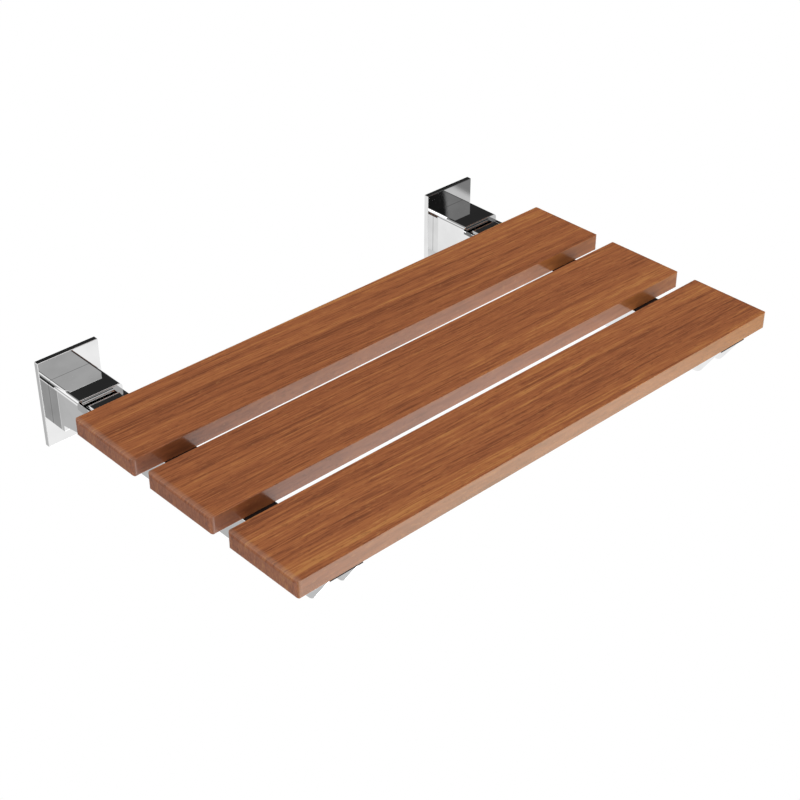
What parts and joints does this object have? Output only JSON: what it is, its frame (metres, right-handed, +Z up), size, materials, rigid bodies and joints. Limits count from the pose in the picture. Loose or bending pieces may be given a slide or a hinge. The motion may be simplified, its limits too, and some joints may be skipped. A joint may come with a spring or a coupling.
{
  "type": "fold-down wall seat",
  "caption": "Slatted hardwood seat on chrome arms that folds down from square wall brackets, for a shower, changing room or hallway.",
  "frame": {"origin": "on the wall plane, midway between the two brackets, at mid-height of the wall plates", "axes": "+X runs along the wall, to the right as seen from the front; the seat reaches out from the wall to -Y; +Z is up"},
  "size_m": [0.615, 0.4064, 0.096],
  "materials": {
    "chrome": "polished",
    "steel": "satin",
    "wood": "satin",
    "rubber": "matte",
    "plastic": "satin"
  },
  "bodies": {
    "wall_brackets": {"wall_base_left": "steel", "cover_plate_left": "chrome", "hinge_block_left": "chrome", "block_set_screws_left": "steel", "hinge_pin_left": "steel", "pin_cap_left": "steel", "stop_pad_left": "rubber", "wall_base_right": "steel", "cover_plate_right": "chrome", "hinge_block_right": "chrome", "block_set_screws_right": "steel", "hinge_pin_right": "steel", "pin_cap_right": "steel", "stop_pad_right": "rubber"},
    "seat": {"arm_channel_left": "chrome", "arm_knuckle_left": "chrome", "knuckle_rivets_left": "chrome", "hinge_bushes_left": "plastic", "slat_screws_left": "steel", "arm_channel_right": "chrome", "arm_knuckle_right": "chrome", "knuckle_rivets_right": "chrome", "hinge_bushes_right": "plastic", "slat_screws_right": "steel", "slat_rear": "wood", "slat_middle": "wood", "slat_front": "wood"}
  },
  "joints": [
    {"name": "seat_fold", "type": "hinge", "parent": "wall_brackets", "child": "seat", "pos_m": [0, -0.0734, 0.0109], "axis": [-1, 0, 0], "range_deg": [0, 90]}
  ]
}
